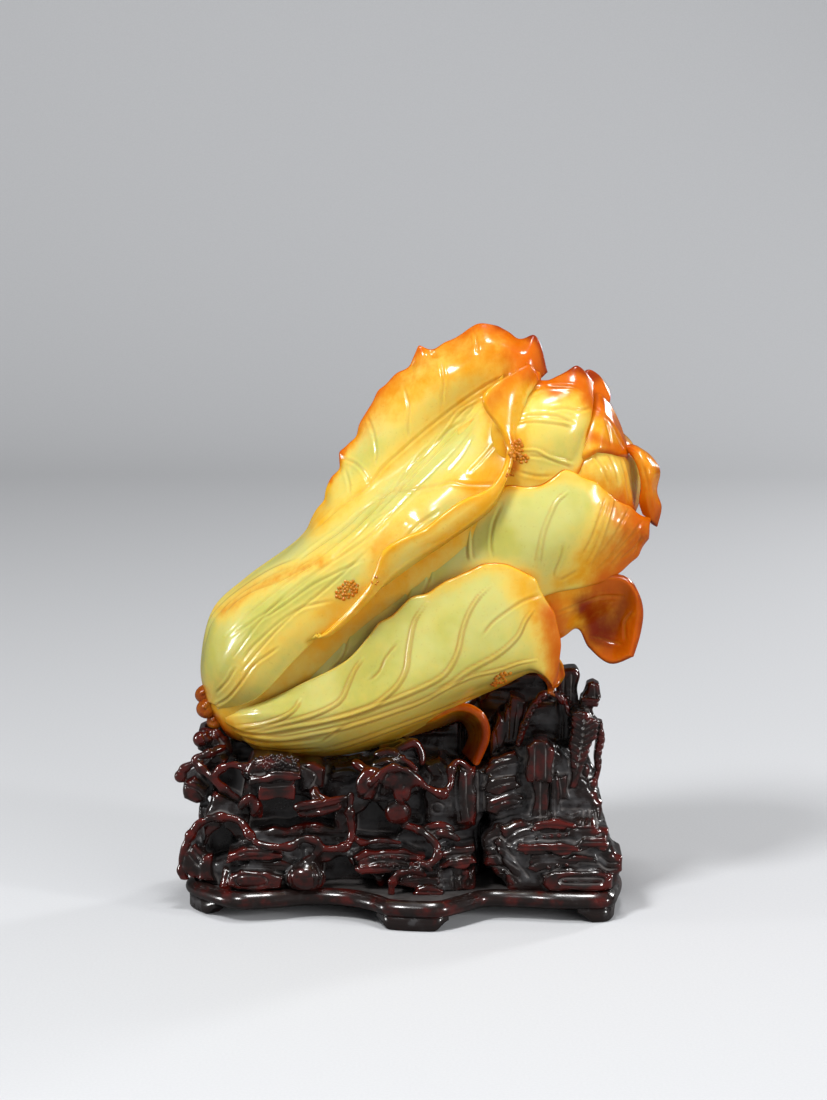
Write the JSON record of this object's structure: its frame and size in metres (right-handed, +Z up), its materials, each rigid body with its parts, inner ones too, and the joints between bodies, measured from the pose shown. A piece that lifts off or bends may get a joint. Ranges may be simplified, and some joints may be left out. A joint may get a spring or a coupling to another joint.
{
  "type": "jade cabbage carving",
  "caption": "Carved stone cabbage with furled leaves, lying aslant on a pierced dark hardwood stand that it lifts off.",
  "frame": {"origin": "on the ground, under the middle of the whole object's bounding box", "axes": "+Z up, +X to the right of someone who faces the carving, from the cut root to the leaf tips, +Y away from them"},
  "size_m": [0.195, 0.1034, 0.2363],
  "materials": {
    "jade": "high polish, waxy, translucent yellow-green stone with russet leaf edges",
    "dark_wood": "waxed and polished dark hardwood with dust in its hollows",
    "peg_wood": "plain turned wood, glued in"
  },
  "bodies": {
    "stand": {"plinth_board": "dark_wood", "front_right_foot": "dark_wood", "front_centre_foot": "dark_wood", "front_left_foot": "dark_wood", "rear_left_foot": "dark_wood", "rear_right_foot": "dark_wood", "left_rock_block": "dark_wood", "centre_rock_block": "dark_wood", "ledge_block": "dark_wood", "tower_block": "dark_wood", "back_rock_block": "dark_wood", "left_rock_dowel": "peg_wood", "centre_rock_dowel": "peg_wood", "ledge_dowel": "peg_wood", "back_rock_dowel": "peg_wood", "tower_dowel": "peg_wood"},
    "jade": {"jade_cabbage": "jade"}
  },
  "joints": [
    {"name": "jade_lift", "type": "slide", "parent": "stand", "child": "jade", "axis": [0, 0, 1], "range_m": [0, 0.045]}
  ]
}
